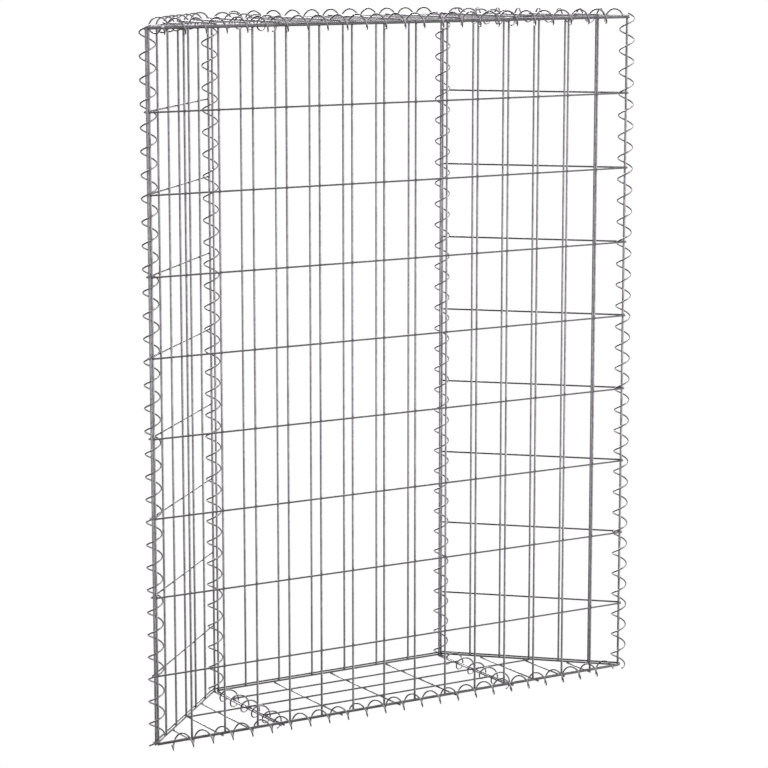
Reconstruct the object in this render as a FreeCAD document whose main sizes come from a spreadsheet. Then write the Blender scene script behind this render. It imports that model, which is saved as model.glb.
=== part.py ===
import FreeCAD, Part
import math
import os

# A trapezoid gabion basket of welded wire mats, laced edge to edge with spiral wires.
# The long mat faces -Y, +Z is up, and the basket stands on the spirals of its floor.

# Driving dimensions, in millimetres
SIZES = (
    ("front_length", 800),
    ("back_length", 400),
    ("depth", 200),
    ("height", 1000),
    ("upright_wire", 3.2),
    ("row_wire", 2.6),
    ("upright_stub", 1),
    ("row_stub", 2.5),
    ("row_spacing", 112.8),
    ("front_spacing", 53.3),
    ("back_spacing", 58),
    ("side_spacing", 47),
    ("long_spacing", 50),
    ("cross_spacing", 100),
    ("end_long_spacing", 100),
    ("end_cross_spacing", 48.8),
    ("back_inset", 2.5),
    ("side_outset", 3.6),
    ("joint_half_gap", 2.4),
    ("wire_clearance", 0.3),
    ("spiral_diameter", 24),
    ("spiral_wire", 2.3),
    ("spiral_pitch", 32),
    ("spiral_end_gap", 1.5),
    ("corner_overrun", 8),
)

# Wires are prisms with the section area of the round wire
MESH_SIDES = 6
SPIRAL_SIDES = 3
CHORDS_PER_TURN = 8
RIGHT_HAND = 1
LEFT_HAND = -1

# Pitches tried for each spiral, on both sides of the nominal one
PITCH_TRIALS = 8
PITCH_STEP = 0.0025

X_AXIS = FreeCAD.Vector(1, 0, 0)
Y_AXIS = FreeCAD.Vector(0, 1, 0)
Z_AXIS = FreeCAD.Vector(0, 0, 1)

# Turns that lay a prism along a line with its flats towards the wires it crosses
UPRIGHT = FreeCAD.Rotation()
WALL_ROW = FreeCAD.Rotation(Y_AXIS, 90)
CROSS = FreeCAD.Rotation(X_AXIS, -90)
LONG = FreeCAD.Rotation(FreeCAD.Vector(1, 1, 1), 120)


def make_sheet(document):
    """Write the driving dimensions into the document's spreadsheet."""
    sheet = document.addObject("Spreadsheet::Sheet", "sizes")
    for row, (name, size) in enumerate(SIZES, start=1):
        sheet.set(f"A{row}", name)
        sheet.set(f"B{row}", str(size))
        sheet.setAlias(f"B{row}", name)
    document.recompute()
    return sheet


def corner_factor(sides):
    """Corner radius of a regular polygon, as a share of the round wire of equal area."""
    return math.sqrt(math.pi / (2 * sides * math.sin(2 * math.pi / sides)))


def corner_radius(wire):
    """Distance from the middle of a mesh wire to each of its corners."""
    return wire * corner_factor(MESH_SIDES)


def half_across_flats(wire):
    """Distance from the middle of a mesh wire to each of its flats."""
    return corner_radius(wire) * math.cos(math.pi / MESH_SIDES)


document = FreeCAD.newDocument("gabion_basket")
sheet = make_sheet(document)
size = {name: float(sheet.get(name)) for name, _ in SIZES}

# Sizes that follow from the driving dimensions
run = (size["front_length"] - size["back_length"]) / 2
slant_length = math.hypot(run, size["depth"])
slant_angle = math.atan2(size["depth"], run)
row_half = half_across_flats(size["row_wire"])
upright_half = half_across_flats(size["upright_wire"])
wall_weld = upright_half + row_half
floor_weld = 2 * row_half
floor_drop = size["upright_stub"] + row_half + size["wire_clearance"]
foot = floor_drop + size["spiral_diameter"] / 2
end_clearance = size["spiral_diameter"] / 2 + size["spiral_end_gap"]

# The basket's corners at the level of the walls' lowest wires
FRONT_LEFT = FreeCAD.Vector(-size["front_length"] / 2, -size["depth"] / 2, foot)
FRONT_RIGHT = FreeCAD.Vector(size["front_length"] / 2, -size["depth"] / 2, foot)
BACK_RIGHT = FreeCAD.Vector(size["back_length"] / 2, size["depth"] / 2, foot)
BACK_LEFT = FreeCAD.Vector(-size["back_length"] / 2, size["depth"] / 2, foot)

nodes = []
mesh_wires = []


def add_wire(place, turn, length, thickness="sizes.row_wire"):
    """One straight wire, placed and sized by expressions on the sheet."""
    wire = document.addObject("Part::Prism", "wire")
    wire.Polygon = MESH_SIDES
    wire.setExpression("Circumradius", f"{thickness} * {corner_factor(MESH_SIDES)}")
    wire.setExpression("Height", length)
    wire.Placement = FreeCAD.Placement(FreeCAD.Vector(), turn)
    for axis, value in zip("xyz", place):
        wire.setExpression(f"Placement.Base.{axis}", value)
    return wire


def add_mat(label, wires, placement):
    """Join a mat's welded wires under one name and put the mat in its place."""
    mat = document.addObject("Part::Compound", label)
    mat.Label = label
    mat.Links = wires
    mat.Placement = placement
    document.recompute()
    nodes.append(mat)
    for wire in wires:
        start = placement.multVec(wire.Placement.Base)
        reach = wire.Placement.Rotation.multVec(Z_AXIS) * wire.Height.Value
        mesh_wires.append((start, start + placement.Rotation.multVec(reach)))


def whole_spaces(length, spacing):
    """How many full spaces fit before a last one of at least half a space."""
    return max(1, int(length / spacing - 0.5))


def equal_spaces(length, spacing):
    """How many equal spaces come nearest to the wanted spacing."""
    return max(1, round(length / spacing))


def row_levels():
    """Levels of a wall's rows: full spaces down from the top, and the last one at the foot."""
    spaces = whole_spaces(size["height"], size["row_spacing"])
    return [f"sizes.height - {k} * sizes.row_spacing" for k in range(spaces + 1)] + ["0"]


def add_wall(label, first, second, length, uprights, levels, inset="0", outset=0.0):
    """A wall between two corners, with uprights on its inner side and rows on its outer."""
    wires = []
    tall = "sizes.height + 2 * sizes.upright_stub"
    for place in uprights:
        foot_place = (place, "0", "-sizes.upright_stub")
        wires.append(add_wire(foot_place, UPRIGHT, tall, "sizes.upright_wire"))
    start = f"{inset} - sizes.row_stub"
    wide = f"{length} - 2 * ({inset}) + 2 * sizes.row_stub"
    for level in levels:
        wires.append(add_wire((start, f"-1 * {wall_weld}", level), WALL_ROW, wide))
    along = (second - first).normalize()
    outward = along.cross(Z_AXIS)
    turn = FreeCAD.Rotation(Z_AXIS, math.degrees(math.atan2(along.y, along.x)))
    add_mat(label, wires, FreeCAD.Placement(first + outward * outset, turn))


def even_uprights(length, spaces):
    """Places of uprights that split a wall into equal spaces."""
    return [f"{length} * {k} / {spaces}" for k in range(spaces + 1)]


def back_uprights():
    """Places of the back wall's uprights: full spaces, and the narrower one comes last."""
    inner = size["back_length"] - 2 * size["back_inset"]
    spaces = whole_spaces(inner, size["back_spacing"])
    places = [f"sizes.back_inset + {k} * sizes.back_spacing" for k in range(spaces + 1)]
    return places + ["sizes.back_length - sizes.back_inset"]


def add_walls():
    """The long front wall, the slanted side walls and the short back wall without inner rows."""
    levels = row_levels()
    spaces = equal_spaces(size["front_length"], size["front_spacing"])
    uprights = even_uprights("sizes.front_length", spaces)
    add_wall("front_mat", FRONT_LEFT, FRONT_RIGHT, "sizes.front_length", uprights, levels)
    uprights = back_uprights()
    borders = [levels[0], levels[-1]]
    inset = "sizes.back_inset"
    add_wall("back_mat", BACK_RIGHT, BACK_LEFT, "sizes.back_length", uprights, borders, inset)
    slant = "sqrt(((sizes.front_length - sizes.back_length) / 2) ^ 2 + sizes.depth ^ 2)"
    uprights = even_uprights(slant, equal_spaces(slant_length, size["side_spacing"]))
    for label, first, second in (
        ("right_side_mat", FRONT_RIGHT, BACK_RIGHT),
        ("left_side_mat", BACK_LEFT, FRONT_LEFT),
    ):
        add_wall(label, first, second, slant, uprights, levels, outset=size["side_outset"])


def add_centre_mat(label, level, cross_side):
    """The rectangular middle of the floor or lid; cross wires lie on one side of it."""
    wires = []
    spaces = equal_spaces(size["depth"], size["long_spacing"])
    start = "sizes.wire_clearance / 2"
    wide = "sizes.back_length - sizes.wire_clearance"
    for k in range(spaces + 1):
        wires.append(add_wire((start, f"sizes.depth * {k} / {spaces}", "0"), LONG, wide))
    spaces = equal_spaces(size["back_length"], size["cross_spacing"])
    places = [f"sizes.back_length * {k} / {spaces}" for k in range(1, spaces)]
    borders = ["sizes.joint_half_gap", "sizes.back_length - sizes.joint_half_gap"]
    deep = "sizes.depth + 2 * sizes.row_stub"
    for place in borders + places:
        height = f"{cross_side * floor_weld}"
        wires.append(add_wire((place, "-sizes.row_stub", height), CROSS, deep))
    corner = FreeCAD.Vector(-size["back_length"] / 2, -size["depth"] / 2, level)
    add_mat(label, wires, FreeCAD.Placement(corner, FreeCAD.Rotation()))


def add_end_mat(label, level, cross_side, end_side):
    """A triangle of the floor or lid; end_side is +1 on the right and -1 on the left."""
    wires = []
    outset = size["side_outset"] / math.cos(slant_angle)
    slope = "sizes.depth / ((sizes.front_length - sizes.back_length) / 2)"
    half_run = "(sizes.front_length - sizes.back_length) / 2"
    inner_edge = (1 + math.cos(slant_angle)) * corner_radius(size["row_wire"])
    short_by = (inner_edge + size["wire_clearance"]) / math.sin(slant_angle)
    long_turn = LONG if end_side > 0 else FreeCAD.Rotation(Z_AXIS, 180) * LONG
    spaces = equal_spaces(size["depth"], size["end_long_spacing"])
    for k in range(spaces):
        deep = f"sizes.depth * {k} / {spaces}"
        reach = f"{half_run} - ({deep} - {outset}) / ({slope}) - {short_by}"
        wide = f"{reach} - sizes.wire_clearance / 2"
        start = f"{end_side} * sizes.wire_clearance / 2"
        wires.append(add_wire((start, deep, "0"), long_turn, wide))
    spaces = whole_spaces(run, size["end_cross_spacing"])
    places = [f"{k} * sizes.end_cross_spacing" for k in range(1, spaces + 1)]
    places.append("sizes.joint_half_gap")
    for place in places:
        deep = f"sizes.depth - ({place}) * {slope} + {outset} + 2 * sizes.row_stub"
        height = f"{cross_side * floor_weld}"
        wires.append(add_wire((f"{end_side} * ({place})", "-sizes.row_stub", height), CROSS, deep))
    turn = FreeCAD.Rotation(Z_AXIS, math.degrees(-end_side * slant_angle)) * long_turn
    outward_x = size["side_outset"] * math.sin(slant_angle)
    outward_y = size["side_outset"] * math.cos(slant_angle)
    back_x = f"{end_side} * ({outward_x} - sizes.row_stub * {math.cos(slant_angle)})"
    back_y = f"sizes.depth + {outward_y} + sizes.row_stub * {math.sin(slant_angle)}"
    border = f"sqrt(({half_run}) ^ 2 + sizes.depth ^ 2) + 2 * sizes.row_stub"
    wires.append(add_wire((back_x, back_y, "0"), turn, border))
    joint = FreeCAD.Vector(end_side * size["back_length"] / 2, -size["depth"] / 2, level)
    add_mat(label, wires, FreeCAD.Placement(joint, FreeCAD.Rotation()))


def add_floor_and_lid():
    """Three mats below the walls and three above them, with cross wires on the outside."""
    floor_level = foot - floor_drop
    lid_level = foot + size["height"] + floor_drop
    for name, level, cross_side in (("floor", floor_level, -1), ("lid", lid_level, 1)):
        add_centre_mat(f"{name}_centre_mat", level, cross_side)
        add_end_mat(f"{name}_left_mat", level, cross_side, -1)
        add_end_mat(f"{name}_right_mat", level, cross_side, 1)


def spiral_frame(start, end, hand):
    """Unit vectors of a spiral: along its axis, sideways and up, mirrored for a left-hand coil."""
    along = (end - start).normalize()
    up = Y_AXIS if abs(along.z) > 0.5 else Z_AXIS
    return along, up.cross(along) * hand, up


def piercings(start, end, frame):
    """Where mesh wires pass through a spiral's strands: places along it and angles."""
    along, side, up = frame
    length = (end - start).Length
    found = []
    for first, last in mesh_wires:
        offset = first - start
        reach = last - first
        a = FreeCAD.Vector(offset.dot(side), offset.dot(up), 0)
        b = FreeCAD.Vector(reach.dot(side), reach.dot(up), 0)
        square = b.dot(b)
        if square < 1:
            continue
        for radius in strand_radii():
            root = a.dot(b) ** 2 - square * (a.dot(a) - radius ** 2)
            if root <= 0:
                continue
            for sign in (-1, 1):
                share = (-a.dot(b) + sign * math.sqrt(root)) / square
                place = offset.dot(along) + share * reach.dot(along)
                if 0 <= share <= 1 and 0 <= place <= length:
                    crossing = a + b * share
                    found.append((place, math.atan2(crossing.y, crossing.x)))
    return found


def strand_corner():
    """Corner radius of a spiral's three-cornered wire."""
    return size["spiral_wire"] * corner_factor(SPIRAL_SIDES)


def strand_radii():
    """Innermost, middle and outermost radius of a spiral's wire."""
    outer = size["spiral_diameter"] / 2
    width = 2 * strand_corner() * math.sin(math.pi / SPIRAL_SIDES)
    return outer - width, outer - width / 2, outer


def lean(pitch):
    """Angle between a spiral's wire and the plane across its axis."""
    return math.atan(pitch / (2 * math.pi * strand_radii()[1]))


def strand_reach(pitch):
    """How far a spiral's wire reaches along the axis, below and above its middle."""
    above = strand_corner() / math.cos(lean(pitch))
    return above * math.cos(math.pi / SPIRAL_SIDES), above


def threading(start, end, frame):
    """Pitch and starting place that let a spiral pass between all the mesh wires."""
    widest = -1
    crossings = piercings(start, end, frame)
    for trial in range(-PITCH_TRIALS, PITCH_TRIALS + 1):
        pitch = size["spiral_pitch"] * (1 + trial * PITCH_STEP)
        taken = sorted((place - pitch * angle / (2 * math.pi)) % pitch for place, angle in crossings)
        for before, after in zip(taken, taken[1:] + [taken[0] + pitch]):
            if after - before > widest:
                widest = after - before
                chosen = pitch, before
    pitch, edge = chosen
    below, above = strand_reach(pitch)
    wire_reach = corner_radius(size["upright_wire"]) / math.cos(lean(pitch))
    spare = widest - below - above - 2 * wire_reach
    return pitch, edge + wire_reach + below + min(spare / 2, size["wire_clearance"])


def strand_ring(start, frame, place, angle, pitch):
    """The corners of a spiral's wire where it passes one place along the spiral."""
    along, side, up = frame
    outward = side * math.cos(angle) + up * math.sin(angle)
    centre = start + along * place
    below, above = strand_reach(pitch)
    inner, middle, outer = strand_radii()
    return (
        centre + outward * outer - along * below,
        centre + outward * middle + along * above,
        centre + outward * inner - along * below,
    )


def flat_face(*corners):
    """A flat face between corner points."""
    return Part.Face(Part.makePolygon(list(corners) + [corners[0]]))


def strand_faces(rings):
    """Flat faces of a three-cornered wire that runs from ring to ring."""
    faces = [flat_face(*rings[0]), flat_face(*rings[-1])]
    for ring, following in zip(rings, rings[1:]):
        for k in range(SPIRAL_SIDES):
            after = (k + 1) % SPIRAL_SIDES
            faces.append(flat_face(ring[k], following[k], following[after]))
            faces.append(flat_face(ring[k], following[after], ring[after]))
    return faces


def add_spiral(label, start, end, hand=RIGHT_HAND):
    """A lacing spiral from one point to another, threaded past the mesh."""
    frame = spiral_frame(start, end, hand)
    pitch, first = threading(start, end, frame)
    step = pitch / CHORDS_PER_TURN
    below, above = strand_reach(pitch)
    low = math.ceil((below - first) / step)
    high = math.floor(((end - start).Length - above - first) / step)
    rings = []
    for k in range(low, high + 1):
        angle = 2 * math.pi * k / CHORDS_PER_TURN
        rings.append(strand_ring(start, frame, first + k * step, angle, pitch))
    shell = Part.makeShell(strand_faces(rings))
    shell.sewShape()
    solid = Part.makeSolid(shell)
    if solid.Volume < 0:
        solid.reverse()
    spiral = document.addObject("Part::Feature", label)
    spiral.Label = label
    spiral.Shape = solid
    spiral.Placement = FreeCAD.Placement()
    nodes.append(spiral)


def add_corner_spirals():
    """One upright spiral at each corner, round the end uprights of two walls."""
    half_outset = size["side_outset"] / 2
    bottom = Z_AXIS * -size["corner_overrun"]
    top = Z_AXIS * (size["height"] + size["corner_overrun"])
    for name, corner in (
        ("front_left", FRONT_LEFT),
        ("front_right", FRONT_RIGHT),
        ("back_right", BACK_RIGHT),
        ("back_left", BACK_LEFT),
    ):
        end_side = math.copysign(1, corner.x)
        outward = FreeCAD.Vector(end_side * math.sin(slant_angle), math.cos(slant_angle), 0)
        axis = corner + outward * half_outset
        add_spiral(f"{name}_corner_spiral", axis + bottom, axis + top)


def add_edge_spirals(name, level, edges):
    """Level spirals along the edges of the floor or lid, at the height of its long wires."""
    half_depth = size["depth"] / 2
    half_front = size["front_length"] / 2
    half_back = size["back_length"] / 2
    past_edge = wall_weld / 2
    front_y = -half_depth - past_edge
    if "front" in edges:
        start = FreeCAD.Vector(-half_front + end_clearance, front_y, level)
        end = FreeCAD.Vector(half_front - end_clearance, front_y, level)
        add_spiral(f"{name}_front_spiral", start, end)
    if "back" in edges:
        start = FreeCAD.Vector(-half_back + end_clearance, half_depth + past_edge, level)
        end = FreeCAD.Vector(half_back - end_clearance, half_depth + past_edge, level)
        add_spiral(f"{name}_back_spiral", start, end)
    for side_name, end_side in (("left", -1), ("right", 1)):
        joint_x = end_side * half_back
        start = FreeCAD.Vector(joint_x, front_y + end_clearance, level)
        end = FreeCAD.Vector(joint_x, half_depth - end_clearance, level)
        add_spiral(f"{name}_{side_name}_joint_spiral", start, end, LEFT_HAND)
        if "sides" in edges:
            slope = FreeCAD.Vector(end_side * math.cos(slant_angle), -math.sin(slant_angle), 0)
            outward = FreeCAD.Vector(end_side * math.sin(slant_angle), math.cos(slant_angle), 0)
            offset = outward * (size["side_outset"] + past_edge)
            back = FreeCAD.Vector(joint_x, half_depth, level) + offset
            spread = size["spiral_diameter"] / 2 * (1 + math.cos(slant_angle))
            front_clearance = (spread + size["spiral_end_gap"]) / math.sin(slant_angle)
            start = back + slope * end_clearance
            end = back + slope * (slant_length - front_clearance)
            add_spiral(f"{name}_{side_name}_spiral", start, end)


def check_document():
    """Stop if any object failed to build."""
    for item in document.Objects:
        if "Invalid" in item.State or "Error" in item.State:
            raise RuntimeError(f"{item.Name} failed: {item.State}")
    for node in nodes:
        if node.Shape.isNull() or not node.Shape.isValid():
            raise RuntimeError(f"{node.Label} has no valid shape")


add_walls()
add_floor_and_lid()
add_corner_spirals()
add_edge_spirals("floor", foot - floor_drop, ("front",))
add_edge_spirals("lid", foot + size["height"] + floor_drop, ("front", "back", "sides"))
document.recompute()
check_document()
os.makedirs("parts", exist_ok=True)
for node in nodes:
    node.Shape.exportStep(f"parts/{node.Label}.step")
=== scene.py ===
"""A gabion basket of welded wire mats, laced together with wire spirals, on a white ground."""

import math
import random

import bmesh
import bpy
import numpy as np
from mathutils import Matrix, Vector


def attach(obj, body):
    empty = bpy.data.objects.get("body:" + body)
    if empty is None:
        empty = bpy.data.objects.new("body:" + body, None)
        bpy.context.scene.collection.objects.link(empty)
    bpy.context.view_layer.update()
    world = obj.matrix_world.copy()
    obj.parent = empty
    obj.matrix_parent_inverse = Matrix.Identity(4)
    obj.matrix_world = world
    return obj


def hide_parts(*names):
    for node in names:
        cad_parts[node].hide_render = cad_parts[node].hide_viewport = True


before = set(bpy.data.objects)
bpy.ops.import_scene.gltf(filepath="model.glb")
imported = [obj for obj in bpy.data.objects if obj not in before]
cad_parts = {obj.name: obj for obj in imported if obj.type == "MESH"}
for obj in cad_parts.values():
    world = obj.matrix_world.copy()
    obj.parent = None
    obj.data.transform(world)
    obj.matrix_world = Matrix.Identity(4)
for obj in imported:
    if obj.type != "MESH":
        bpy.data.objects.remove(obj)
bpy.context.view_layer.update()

# Lengths are metres, and angles are degrees where a name says so

MILLIMETRE = 0.001
SEED = 7

# The solids' wires have few sides, and corners outside the round wire of the same section

MAT_SOLID_SIDES = 6
SPIRAL_SOLID_SIDES = 3
SPIRAL_SOLID_CHORDS = 8
SAME_CORNER = 0.002 * MILLIMETRE
SORTING_DECIMALS = 5
PARALLEL_LIMIT = 0.1

MATS = [
    "front_mat",
    "back_mat",
    "left_side_mat",
    "right_side_mat",
    "floor_centre_mat",
    "floor_left_mat",
    "floor_right_mat",
    "lid_centre_mat",
    "lid_left_mat",
    "lid_right_mat",
]

SPIRALS = [
    "front_left_corner_spiral",
    "front_right_corner_spiral",
    "back_right_corner_spiral",
    "back_left_corner_spiral",
    "floor_front_spiral",
    "floor_left_joint_spiral",
    "floor_right_joint_spiral",
    "lid_front_spiral",
    "lid_back_spiral",
    "lid_left_spiral",
    "lid_right_spiral",
    "lid_left_joint_spiral",
    "lid_right_joint_spiral",
]

# Round wires, their shorn ends and the welds where they cross

WIRE_SIDES = 16
END_BEVEL = 0.35 * MILLIMETRE
END_BEVEL_SHARE = 0.82
WELD_REACH = 2.0 * MILLIMETRE
WELD_THICKNESS = 1.15 * MILLIMETRE
WELD_SIDES = 10
WELD_RINGS = 5
SIDE_FACE_CORNERS = 4
LONGEST_CROSSING_GAP = 4.0 * MILLIMETRE

# Each wire differs a little in tone at random. Thin wires are painted darker than the uprights with
# painted shade, the lid's wires are painted lighter with painted light from above, and those from
# front to back are painted lighter again with a painted reflection

TONE_SPREAD = 0.1
THIN_WIRE_RADIUS = 1.45 * MILLIMETRE
# Painted shade: thin wires are made darker than the uprights
THIN_WIRE_PAINTED_SHADE = -0.7
# Painted light from above: the lid's wires are made lighter
LID_PAINTED_LIGHT = 0.5
# Painted reflection: wires running from front to back are made lighter
FRONT_TO_BACK_PAINTED_REFLECTION = 0.6
FRONT_TO_BACK_SHARE = 0.9

# Attributes that only the trees need

HELPING_ATTRIBUTES = ("lay_length", "lay_round", "wire_radius", "weld_normal", "shift", "weld_seat")

# Lacing spirals

SPIRAL_OUTER_RADIUS = 12.0 * MILLIMETRE
SPIRAL_WIRE_RADIUS = 1.2 * MILLIMETRE
SPIRAL_POINTS_A_TURN = 28
SPIRAL_WIRE_SIDES = 10

# Zinc: its drawn lines are long along the wire, and where it blooms it turns to chalk

CHALK = (0.42, 0.42, 0.43, 1.0)
LINE_STRETCH = 0.04
BLOOM_SCALE = 2.3
BLOOM_THRESHOLD = 0.78
BLOOM_EDGE = 0.14
CRYSTAL_SHARE = 0.35
CLOUD_SHARE = 0.65
LINE_HEIGHT_SHARE = 0.6
BLOOM_HEIGHT_SHARE = 0.4
LOWEST_TONE, HIGHEST_TONE = 0.35, 0.75
NOISE_START, NOISE_END = 0.3, 0.7
CHALK_COVER = 0.55
CHALK_ROUGHNESS = 0.2
CHALK_METAL = 0.45
BARE_COVER = 0.7
BUMP_DEPTH = 0.08 * MILLIMETRE
BUMP_STRENGTH = 0.5

# Light: the sky's brightness at levels from straight below (0) to overhead (1). It is stronger on
# the photograph's right, and one bright patch of it stands behind the basket

SKY_LEVELS = [
    (0.0, 0.01),
    (0.1, 0.02),
    (0.18, 0.8),
    (0.36, 1.08),
    (0.46, 0.97),
    (0.72, 1.0),
    (0.84, 0.2),
    (0.92, 0.4),
    (0.97, 2.0),
    (1.0, 3.0),
]
SKY_COLOUR = (1.0, 1.0, 1.0, 1.0)
SKY_LEFT_STRENGTH = 0.5
SKY_RIGHT_STRENGTH = 3.5
BACK_LIGHT_DIRECTION = (0.35, 0.85, 0.4)
BACK_LIGHT_WIDTH_POWER = 24.0
BACK_LIGHT_STRENGTH = 18.0
BACKDROP_RADIUS = 30.0
BACKDROP_SUBDIVISIONS = 4
BACKDROP_COLOUR = (1.0, 0.999, 1.0, 1.0)

# Camera

CAMERA_PLACE = (-2.0835, -3.4611, 1.1649)
CAMERA_YAW_DEGREES = 31.46
CAMERA_PITCH_DEGREES = 9.65
CAMERA_LENS = 129.13
CAMERA_SENSOR = 36.0
CAMERA_NEAR = 0.05
CAMERA_FAR = 200.0


def put(tree, kind, sockets=None, **settings):
    """A new node of this kind, with its settings made and each named input linked or set."""
    node = tree.nodes.new(kind)
    for name, value in settings.items():
        setattr(node, name, value)
    for name, value in (sockets or {}).items():
        if isinstance(value, bpy.types.NodeSocket):
            tree.links.new(value, node.inputs[name])
        else:
            node.inputs[name].default_value = value
    return node


def add_sockets(tree, way, sockets):
    """Names the inputs or the outputs of a node group."""
    for name, kind in sockets.items():
        tree.interface.new_socket(name=name, in_out=way, socket_type="NodeSocket" + kind)


# Reading the solids of the frame


def solid_corners(node):
    """The corners of each separate solid in a node, as one array for each solid."""
    work = bmesh.new()
    work.from_mesh(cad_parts[node].data)
    bmesh.ops.remove_doubles(work, verts=work.verts, dist=SAME_CORNER)
    unseen = set(work.verts)
    solids = []
    while unseen:
        start = unseen.pop()
        found = [start]
        for vertex in found:
            for edge in vertex.link_edges:
                other = edge.other_vert(vertex)
                if other in unseen:
                    unseen.remove(other)
                    found.append(other)
        solids.append(np.array([v.co for v in found], float))
    work.free()
    return sorted(solids, key=lambda corners: tuple(corners.mean(0).round(SORTING_DECIMALS)))


def long_direction(points):
    """The direction in which a set of points is longest, and their middle."""
    middle = points.mean(0)
    direction = np.linalg.svd(points - middle)[2][0]
    return direction, middle


def round_radius(corner_radius, sides):
    """The radius of the round wire that has the same section as a wire of flat sides."""
    return corner_radius * math.sqrt(sides * math.sin(math.tau / sides) / math.tau)


def mat_wires(node):
    """Each straight wire of a mat, as its two ends and its radius."""
    wires = []
    for corners in solid_corners(node):
        direction, middle = long_direction(corners)
        along = (corners - middle) @ direction
        halves = [corners[along < 0], corners[along > 0]]
        ends = [half.mean(0) for half in halves]
        corner_radius = np.linalg.norm(halves[0] - ends[0], axis=1).mean()
        wires.append((ends[0], ends[1], round_radius(corner_radius, MAT_SOLID_SIDES)))
    return wires


def crossings(wires):
    """Where two wires of a mat touch: the point between them and the direction across them."""
    found = []
    for number, (start, end, radius) in enumerate(wires):
        for other_start, other_end, other_radius in wires[number + 1:]:
            one = (end - start) / np.linalg.norm(end - start)
            two = (other_end - other_start) / np.linalg.norm(other_end - other_start)
            across = np.cross(one, two)
            if np.linalg.norm(across) < PARALLEL_LIMIT:
                continue
            across /= np.linalg.norm(across)
            gap = (other_start - start) @ across
            if abs(gap) > LONGEST_CROSSING_GAP:
                continue
            flat = (other_start - start) - gap * across
            along_one, along_two = np.linalg.lstsq(np.stack([one, -two], 1), flat, rcond=None)[0]
            if not 0 <= along_one <= np.linalg.norm(end - start):
                continue
            if not 0 <= along_two <= np.linalg.norm(other_end - other_start):
                continue
            share = radius / (radius + other_radius)
            found.append((start + along_one * one + gap * share * across, across))
    return found


def spiral_line(node):
    """A spiral's foot, its three directions, its turns, its height and whether it is right-handed."""
    corners = solid_corners(node)[0]
    direction, middle = long_direction(corners)
    if direction @ np.ones(3) < 0:
        direction = -direction
    corners = corners[np.argsort((corners - middle) @ direction)]
    rings = corners.reshape(-1, SPIRAL_SOLID_SIDES, 3).mean(1)
    half_turn = SPIRAL_SOLID_CHORDS // 2
    direction, middle = long_direction((rings[:-half_turn] + rings[half_turn:]) / 2)
    if (rings[-1] - rings[0]) @ direction < 0:
        direction = -direction
    height = (rings[-1] - rings[0]) @ direction
    turns = (len(rings) - 1) / SPIRAL_SOLID_CHORDS
    foot = middle + ((rings[0] - middle) @ direction) * direction
    side = (rings[0] - foot) / np.linalg.norm(rings[0] - foot)
    across = np.cross(direction, side)
    right_handed = bool((rings[1] - foot) @ across > 0)
    return foot, (side, across, direction), turns, height, right_handed


# Trees of Geometry Nodes


def start_tree(name, inputs):
    """A new tree of Geometry Nodes with named inputs, and its input node."""
    tree = bpy.data.node_groups.new(name, "GeometryNodeTree")
    add_sockets(tree, "INPUT", {"Geometry": "Geometry", **inputs})
    add_sockets(tree, "OUTPUT", {"Geometry": "Geometry"})
    return tree, put(tree, "NodeGroupInput").outputs


def named(tree, name, kind="FLOAT"):
    """The value of a named attribute."""
    return put(tree, "GeometryNodeInputNamedAttribute", {"Name": name}, data_type=kind).outputs[0]


def stored(tree, geometry, name, value, kind="FLOAT", domain="POINT"):
    """The geometry with a value stored in it under a name."""
    node = put(
        tree,
        "GeometryNodeStoreNamedAttribute",
        {"Geometry": geometry, "Name": name},
        data_type=kind,
        domain=domain,
    )
    tree.links.new(value, node.inputs["Value"])
    return node.outputs[0]


def math_node(tree, operation, first, second=0.0, third=0.0):
    """The result of a sum on values."""
    return put(tree, "ShaderNodeMath", {0: first, 1: second, 2: third}, operation=operation).outputs[0]


def swept_wire(tree, curves, scale, sides, shift):
    """Round wires along curves, with flat ends and their own straight coordinates in "lay"."""
    length = put(tree, "GeometryNodeSplineParameter").outputs["Length"]
    curves = stored(tree, curves, "lay_length", math_node(tree, "ADD", length, shift))
    circle = put(tree, "GeometryNodeCurvePrimitiveCircle", {"Resolution": sides, "Radius": 1.0})
    place = put(tree, "GeometryNodeInputPosition").outputs[0]
    profile = stored(tree, circle.outputs[0], "lay_round", place, "FLOAT_VECTOR")
    swept = put(
        tree,
        "GeometryNodeCurveToMesh",
        {"Curve": curves, "Profile Curve": profile, "Scale": scale, "Fill Caps": True},
    ).outputs[0]
    around = put(tree, "ShaderNodeVectorMath", operation="SCALE")
    tree.links.new(named(tree, "lay_round", "FLOAT_VECTOR"), around.inputs[0])
    tree.links.new(scale, around.inputs["Scale"])
    parts = put(tree, "ShaderNodeSeparateXYZ", {0: around.outputs[0]}).outputs
    lay = put(
        tree,
        "ShaderNodeCombineXYZ",
        {0: parts[0], 1: parts[1], 2: named(tree, "lay_length")},
    ).outputs[0]
    swept = stored(tree, swept, "lay", lay, "FLOAT_VECTOR")
    corner_count = put(tree, "GeometryNodeInputMeshFaceNeighbors").outputs["Vertex Count"]
    is_end = put(
        tree,
        "FunctionNodeCompare",
        {2: corner_count, 3: SIDE_FACE_CORNERS},
        data_type="INT",
        operation="GREATER_THAN",
    ).outputs[0]
    swept = stored(tree, swept, "bare", is_end, "FLOAT", "FACE")
    swept = put(tree, "GeometryNodeSetShadeSmooth", {"Geometry": swept}).outputs[0]
    return put(
        tree,
        "GeometryNodeSetShadeSmooth",
        {"Geometry": swept, "Selection": is_end, "Shade Smooth": False},
    ).outputs[0]


def end_tree(tree, geometry, material):
    """Realizes what the tree made, gives it its material and drops the helping attributes."""
    geometry = put(tree, "GeometryNodeRealizeInstances", {0: geometry}).outputs[0]
    for name in HELPING_ATTRIBUTES:
        geometry = put(tree, "GeometryNodeRemoveAttribute", {0: geometry, "Name": name}).outputs[0]
    geometry = put(
        tree,
        "GeometryNodeSetMaterial",
        {"Geometry": geometry, "Material": material},
    ).outputs[0]
    put(tree, "NodeGroupOutput", {0: geometry})


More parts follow.
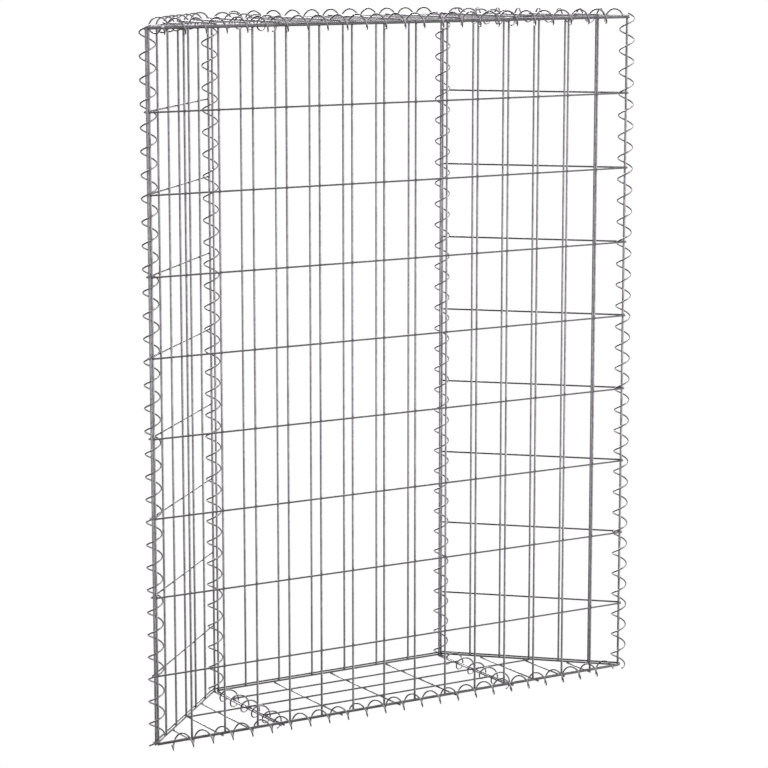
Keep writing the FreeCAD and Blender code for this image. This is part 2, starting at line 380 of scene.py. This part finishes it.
def make_welded_mat_tree():
    """Straight round wires along the edges of a mesh, and a weld on each of its loose points."""
    tree, given = start_tree(
        "welded_mat",
        {
            "Wire Sides": "Int",
            "Weld Reach": "Float",
            "Weld Thickness": "Float",
            "Weld Sides": "Int",
            "Weld Rings": "Int",
            "Material": "Material",
        },
    )
    curves = put(tree, "GeometryNodeMeshToCurve", {"Mesh": given["Geometry"]}).outputs[0]
    wires = swept_wire(
        tree, curves, named(tree, "wire_radius"), given["Wire Sides"], named(tree, "shift")
    )
    bead = put(
        tree,
        "GeometryNodeMeshUVSphere",
        {"Segments": given["Weld Sides"], "Rings": given["Weld Rings"], "Radius": 1.0},
    ).outputs[0]
    bead = put(tree, "GeometryNodeSetShadeSmooth", {"Geometry": bead}).outputs[0]
    turn = put(
        tree,
        "FunctionNodeAlignRotationToVector",
        {"Vector": named(tree, "weld_normal", "FLOAT_VECTOR")},
        axis="Z",
    ).outputs[0]
    size = put(
        tree,
        "ShaderNodeCombineXYZ",
        {0: given["Weld Reach"], 1: given["Weld Reach"], 2: given["Weld Thickness"]},
    ).outputs[0]
    welds = put(
        tree,
        "GeometryNodeInstanceOnPoints",
        {
            "Points": given["Geometry"],
            "Selection": named(tree, "weld_seat", "BOOLEAN"),
            "Instance": bead,
            "Rotation": turn,
            "Scale": size,
        },
    ).outputs[0]
    welds = put(tree, "GeometryNodeRealizeInstances", {0: welds}).outputs[0]
    one = put(tree, "ShaderNodeValue")
    one.outputs[0].default_value = 1.0
    welds = stored(tree, welds, "bare", one.outputs[0], "FLOAT", "FACE")
    place = put(tree, "GeometryNodeInputPosition").outputs[0]
    welds = stored(tree, welds, "lay", place, "FLOAT_VECTOR")
    joined = put(tree, "GeometryNodeJoinGeometry")
    tree.links.new(wires, joined.inputs[0])
    tree.links.new(welds, joined.inputs[0])
    end_tree(tree, joined.outputs[0], given["Material"])
    return tree


def make_lacing_spiral_tree():
    """A spiral of round wire that climbs the z axis from a start on the x axis."""
    tree, given = start_tree(
        "lacing_spiral",
        {
            "Turns": "Float",
            "Height": "Float",
            "Coil Radius": "Float",
            "Wire Radius": "Float",
            "Points a Turn": "Int",
            "Wire Sides": "Int",
            "Right-handed": "Bool",
            "Material": "Material",
        },
    )
    spiral = put(
        tree,
        "GeometryNodeCurveSpiral",
        {
            "Resolution": given["Points a Turn"],
            "Rotations": given["Turns"],
            "Start Radius": given["Coil Radius"],
            "End Radius": given["Coil Radius"],
            "Height": given["Height"],
            "Reverse": given["Right-handed"],
        },
    ).outputs[0]
    nothing = put(tree, "ShaderNodeValue")
    nothing.outputs[0].default_value = 0.0
    wire = swept_wire(
        tree, spiral, given["Wire Radius"], given["Wire Sides"], nothing.outputs[0]
    )
    end_tree(tree, wire, given["Material"])
    return tree


def grown(name, base, tree, inputs):
    """A plain mesh object made by a tree of Geometry Nodes from a base mesh."""
    seed = bpy.data.objects.new(name + "_seed", base)
    bpy.context.scene.collection.objects.link(seed)
    modifier = seed.modifiers.new("grow", "NODES")
    modifier.node_group = tree
    identifiers = {
        item.name: item.identifier
        for item in tree.interface.items_tree
        if item.in_out == "INPUT"
    }
    for socket, value in inputs.items():
        modifier[identifiers[socket]] = value
    bpy.context.view_layer.update()
    evaluated = seed.evaluated_get(bpy.context.evaluated_depsgraph_get())
    mesh = bpy.data.meshes.new_from_object(evaluated)
    mesh.name = name
    seed.modifiers.remove(modifier)
    bpy.data.objects.remove(seed)
    piece = bpy.data.objects.new(name, mesh)
    bpy.context.scene.collection.objects.link(piece)
    return piece


# Finishes


def make_zinc_skin_group():
    """Marks on a zinc coating: cloudy tone, crystals, drawn lines along the wire and chalky bloom."""
    tree = bpy.data.node_groups.new("zinc_skin", "ShaderNodeTree")
    add_sockets(
        tree,
        "INPUT",
        {
            "Cloud Size": "Float",
            "Crystal Size": "Float",
            "Line Size": "Float",
            "Bloom Amount": "Float",
        },
    )
    add_sockets(
        tree,
        "OUTPUT",
        {"Tone": "Float", "Lines": "Float", "Bloom": "Float", "Height": "Float"},
    )
    given = put(tree, "NodeGroupInput").outputs
    place = put(tree, "ShaderNodeTexCoord").outputs["Object"]
    lay = put(tree, "ShaderNodeAttribute", attribute_name="lay").outputs["Vector"]

    def divided(vector, size):
        return put(
            tree,
            "ShaderNodeVectorMath",
            {0: vector, 3: math_node(tree, "DIVIDE", 1.0, size)},
            operation="SCALE",
        ).outputs[0]

    clouds = put(
        tree,
        "ShaderNodeTexNoise",
        {"Vector": divided(place, given["Cloud Size"]), "Scale": 1.0, "Detail": 3.0},
    ).outputs["Fac"]
    crystals = put(
        tree,
        "ShaderNodeTexVoronoi",
        {"Vector": divided(place, given["Crystal Size"]), "Scale": 1.0},
    ).outputs["Color"]
    crystal_tone = put(tree, "ShaderNodeSeparateColor", {0: crystals}).outputs[0]
    stretched = put(
        tree,
        "ShaderNodeVectorMath",
        {0: divided(lay, given["Line Size"]), 1: (1.0, 1.0, LINE_STRETCH)},
        operation="MULTIPLY",
    ).outputs[0]
    lines = put(
        tree,
        "ShaderNodeTexNoise",
        {"Vector": stretched, "Scale": 1.0, "Detail": 2.0},
    ).outputs["Fac"]
    bloom_clouds = put(
        tree,
        "ShaderNodeTexNoise",
        {
            "Vector": divided(place, given["Cloud Size"]),
            "Scale": BLOOM_SCALE,
            "Detail": 5.0,
            "Roughness": 0.65,
        },
    ).outputs["Fac"]
    bloom_start = math_node(tree, "SUBTRACT", BLOOM_THRESHOLD, given["Bloom Amount"])
    bloom = put(
        tree,
        "ShaderNodeMapRange",
        {
            "Value": bloom_clouds,
            "From Min": bloom_start,
            "From Max": math_node(tree, "ADD", bloom_start, BLOOM_EDGE),
        },
    ).outputs[0]
    cloud_tone = math_node(tree, "MULTIPLY", clouds, CLOUD_SHARE)
    tone = math_node(tree, "MULTIPLY_ADD", crystal_tone, CRYSTAL_SHARE, cloud_tone)
    bloom_height = math_node(tree, "MULTIPLY", bloom_clouds, BLOOM_HEIGHT_SHARE)
    height = math_node(tree, "MULTIPLY_ADD", lines, LINE_HEIGHT_SHARE, bloom_height)
    put(tree, "NodeGroupOutput", {"Tone": tone, "Lines": lines, "Bloom": bloom, "Height": height})
    return tree


def mixed_colour(tree, share, first, second):
    """One colour turned into another by a share from 0 to 1."""
    # The sockets of each kind have the same names here, so they are taken by number
    node = put(tree, "ShaderNodeMix", data_type="RGBA")
    for socket, value in ((node.inputs[0], share), (node.inputs[6], first), (node.inputs[7], second)):
        if isinstance(value, bpy.types.NodeSocket):
            tree.links.new(value, socket)
        else:
            socket.default_value = value
    return node.outputs[2]


def spread(tree, value, lowest, highest, start=0.0, end=1.0):
    """A value from start to end, spread from lowest to highest."""
    return put(
        tree,
        "ShaderNodeMapRange",
        {0: value, 1: start, 2: end, 3: lowest, 4: highest},
    ).outputs[0]


def make_zinc(name, skin, dark, light, weld, roughness, marks):
    """A zinc-coated wire: mottled metal with each wire's random tone and its painted light and shade
    added, chalky where it has bloomed, darker at cuts and welds.
    """
    material = bpy.data.materials.new(name)
    material.use_nodes = True
    tree = material.node_tree
    tree.nodes.clear()
    coat = put(tree, "ShaderNodeGroup", node_tree=skin)
    for socket, value in marks.items():
        coat.inputs[socket].default_value = value
    made = coat.outputs
    bare = put(tree, "ShaderNodeAttribute", attribute_name="bare").outputs["Fac"]
    # Each wire's random tone plus its painted shade (thin wires), painted light (lid) and painted
    # reflection (front-to-back wires)
    tone_and_painted_light = put(tree, "ShaderNodeAttribute", attribute_name="tone_and_painted_light").outputs["Fac"]
    mottle = spread(tree, made["Tone"], LOWEST_TONE, HIGHEST_TONE, NOISE_START, NOISE_END)
    tone = math_node(tree, "ADD", mottle, tone_and_painted_light)
    chalk_cover = math_node(tree, "MULTIPLY", made["Bloom"], CHALK_COVER)
    bare_cover = math_node(tree, "MULTIPLY", bare, BARE_COVER)
    colour = mixed_colour(tree, tone, dark, light)
    colour = mixed_colour(tree, chalk_cover, colour, CHALK)
    colour = mixed_colour(tree, bare_cover, colour, weld)
    rough = spread(tree, made["Lines"], roughness[0], roughness[1], NOISE_START, NOISE_END)
    rough = math_node(tree, "MULTIPLY_ADD", made["Bloom"], CHALK_ROUGHNESS, rough)
    metal = spread(tree, made["Bloom"], 1.0, CHALK_METAL)
    bump = put(
        tree,
        "ShaderNodeBump",
        {"Height": made["Height"], "Distance": BUMP_DEPTH, "Strength": BUMP_STRENGTH},
    ).outputs[0]
    metal_shader = put(
        tree,
        "ShaderNodeBsdfPrincipled",
        {"Base Color": colour, "Roughness": rough, "Metallic": metal, "Normal": bump},
    ).outputs[0]
    put(tree, "ShaderNodeOutputMaterial", {"Surface": metal_shader})
    return material


zinc_skin = make_zinc_skin_group()
mesh_zinc = make_zinc(
    "zinc_mesh_wire",
    zinc_skin,
    dark=(0.06, 0.057, 0.06, 1.0),
    light=(0.29, 0.279, 0.291, 1.0),
    weld=(0.12, 0.115, 0.12, 1.0),
    roughness=(0.36, 0.5),
    marks={
        "Cloud Size": 0.028,
        "Crystal Size": 0.0035,
        "Line Size": 0.0005,
        "Bloom Amount": 0.1,
    },
)
spiral_zinc = make_zinc(
    "zinc_spiral_wire",
    zinc_skin,
    dark=(0.05, 0.048, 0.051, 1.0),
    light=(0.19, 0.184, 0.19, 1.0),
    weld=(0.04, 0.039, 0.04, 1.0),
    roughness=(0.18, 0.28),
    marks={
        "Cloud Size": 0.02,
        "Crystal Size": 0.0025,
        "Line Size": 0.0004,
        "Bloom Amount": 0.06,
    },
)

# Mats


def mat_plan(node, draw):
    """A mesh with an edge line for each wire of a mat and a loose point for each weld."""
    wires = mat_wires(node)
    # Painted light from above: the lid's wires are made lighter
    mat_painted_light = LID_PAINTED_LIGHT if node.startswith("lid") else 0.0
    points, edges, radii, shifts, tones_and_painted_light = [], [], [], [], []
    for start, end, radius in wires:
        direction = (end - start) / np.linalg.norm(end - start)
        bevel = END_BEVEL * direction
        first = len(points)
        points += [start, start + bevel, end - bevel, end]
        edges += [(first, first + 1), (first + 1, first + 2), (first + 2, first + 3)]
        radii += [radius * END_BEVEL_SHARE, radius, radius, radius * END_BEVEL_SHARE]
        shifts += [draw.random()] * 4
        tone = mat_painted_light + draw.uniform(-TONE_SPREAD, TONE_SPREAD)
        # Painted shade: thin wires are made darker
        if radius < THIN_WIRE_RADIUS:
            tone += THIN_WIRE_PAINTED_SHADE
        # Painted reflection: wires running from front to back are made lighter
        if abs(direction[1]) > FRONT_TO_BACK_SHARE:
            tone += FRONT_TO_BACK_PAINTED_REFLECTION
        tones_and_painted_light += [tone] * 4
    wire_points = len(points)
    welds = crossings(wires)
    points += [place for place, across in welds]
    mesh = bpy.data.meshes.new(node + "_plan")
    mesh.from_pydata(points, edges, [])
    normals = [(0.0, 0.0, 1.0)] * wire_points + [tuple(across) for place, across in welds]
    filler = [0.0] * len(welds)
    for name, kind, field, values in (
        ("wire_radius", "FLOAT", "value", radii + filler),
        ("shift", "FLOAT", "value", shifts + filler),
        # Random tone per wire together with its painted shade, painted light and painted reflection
        ("tone_and_painted_light", "FLOAT", "value", tones_and_painted_light + filler),
        ("weld_normal", "FLOAT_VECTOR", "vector", np.array(normals).ravel()),
        ("weld_seat", "BOOLEAN", "value", [False] * wire_points + [True] * len(welds)),
    ):
        mesh.attributes.new(name, kind, "POINT").data.foreach_set(field, values)
    return mesh


def finish_piece(piece, node):
    """Puts a piece on the basket in place of a node."""
    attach(piece, "root")
    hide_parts(node)


draw = random.Random(SEED)
welded_mat_tree = make_welded_mat_tree()
for node in MATS:
    mat = grown(
        node + "_wires",
        mat_plan(node, draw),
        welded_mat_tree,
        {
            "Wire Sides": WIRE_SIDES,
            "Weld Reach": WELD_REACH,
            "Weld Thickness": WELD_THICKNESS,
            "Weld Sides": WELD_SIDES,
            "Weld Rings": WELD_RINGS,
            "Material": mesh_zinc,
        },
    )
    finish_piece(mat, node)

# Spirals

lacing_spiral_tree = make_lacing_spiral_tree()
for node in SPIRALS:
    foot, directions, turns, height, right_handed = spiral_line(node)
    spiral = grown(
        node + "_wire",
        bpy.data.meshes.new(node + "_plan"),
        lacing_spiral_tree,
        {
            "Turns": turns,
            "Height": height,
            "Coil Radius": SPIRAL_OUTER_RADIUS - SPIRAL_WIRE_RADIUS,
            "Wire Radius": SPIRAL_WIRE_RADIUS,
            "Points a Turn": SPIRAL_POINTS_A_TURN,
            "Wire Sides": SPIRAL_WIRE_SIDES,
            "Right-handed": right_handed,
            "Material": spiral_zinc,
        },
    )
    columns = [Vector(list(axis) + [0.0]) for axis in directions]
    columns.append(Vector(list(foot) + [1.0]))
    spiral.data.transform(Matrix(columns).transposed())
    finish_piece(spiral, node)

# Ground, light and camera


def make_backdrop():
    """A white shell all round, as a cut-out picture has, that casts no light and no reflection."""
    work = bmesh.new()
    bmesh.ops.create_icosphere(work, subdivisions=BACKDROP_SUBDIVISIONS, radius=BACKDROP_RADIUS)
    bmesh.ops.reverse_faces(work, faces=work.faces)
    mesh = bpy.data.meshes.new("backdrop")
    work.to_mesh(mesh)
    work.free()
    backdrop = bpy.data.objects.new("backdrop", mesh)
    bpy.context.scene.collection.objects.link(backdrop)
    material = bpy.data.materials.new("white_backdrop")
    material.use_nodes = True
    tree = material.node_tree
    tree.nodes.clear()
    glow = put(tree, "ShaderNodeEmission", {"Color": BACKDROP_COLOUR, "Strength": 1.0})
    put(tree, "ShaderNodeOutputMaterial", {"Surface": glow.outputs[0]})
    mesh.materials.append(material)
    for ray in ("diffuse", "glossy", "transmission", "volume_scatter", "shadow"):
        setattr(backdrop, "visible_" + ray, False)


def make_sky(levels):
    """Light from all round, with its brightness at each level from straight below to overhead."""
    world = bpy.data.worlds.new("studio")
    bpy.context.scene.world = world
    world.use_nodes = True
    tree = world.node_tree
    tree.nodes.clear()
    direction = put(tree, "ShaderNodeTexCoord").outputs["Generated"]
    rise = put(tree, "ShaderNodeSeparateXYZ", {0: direction}).outputs[2]
    yaw = math.radians(CAMERA_YAW_DEGREES)
    to_right = put(
        tree,
        "ShaderNodeVectorMath",
        {0: direction, 1: (math.cos(yaw), -math.sin(yaw), 0.0)},
        operation="DOT_PRODUCT",
    ).outputs["Value"]
    strength = spread(tree, to_right, SKY_LEFT_STRENGTH, SKY_RIGHT_STRENGTH, -1.0, 1.0)
    ramp = put(tree, "ShaderNodeValToRGB", {0: spread(tree, rise, 0.0, 1.0, -1.0, 1.0)})
    steps = ramp.color_ramp.elements
    for place, brightness in levels[1:-1]:
        steps.new(place)
    for step, (place, brightness) in zip(steps, levels):
        step.position = place
        step.color = (brightness, brightness, brightness, 1.0)
    to_back = put(
        tree,
        "ShaderNodeVectorMath",
        {0: direction, 1: Vector(BACK_LIGHT_DIRECTION).normalized()},
        operation="DOT_PRODUCT",
    ).outputs["Value"]
    back_light = math_node(tree, "POWER", math_node(tree, "MAXIMUM", to_back), BACK_LIGHT_WIDTH_POWER)
    all_round = math_node(tree, "MULTIPLY", ramp.outputs[0], strength)
    total = math_node(tree, "MULTIPLY_ADD", back_light, BACK_LIGHT_STRENGTH, all_round)
    background = put(tree, "ShaderNodeBackground", {"Color": SKY_COLOUR, "Strength": total})
    put(tree, "ShaderNodeOutputWorld", {"Surface": background.outputs[0]})


def make_camera():
    """The camera of the photograph."""
    data = bpy.data.cameras.new("camera")
    data.sensor_width = CAMERA_SENSOR
    data.lens = CAMERA_LENS
    data.clip_start = CAMERA_NEAR
    data.clip_end = CAMERA_FAR
    camera = bpy.data.objects.new("camera", data)
    bpy.context.scene.collection.objects.link(camera)
    yaw, pitch = math.radians(CAMERA_YAW_DEGREES), math.radians(CAMERA_PITCH_DEGREES)
    towards = Vector(
        (math.sin(yaw) * math.cos(pitch), math.cos(yaw) * math.cos(pitch), -math.sin(pitch))
    )
    camera.location = CAMERA_PLACE
    camera.rotation_euler = towards.to_track_quat("-Z", "Y").to_euler()
    bpy.context.scene.camera = camera


make_backdrop()
make_sky(SKY_LEVELS)
make_camera()
bpy.context.scene.view_settings.view_transform = "Standard"
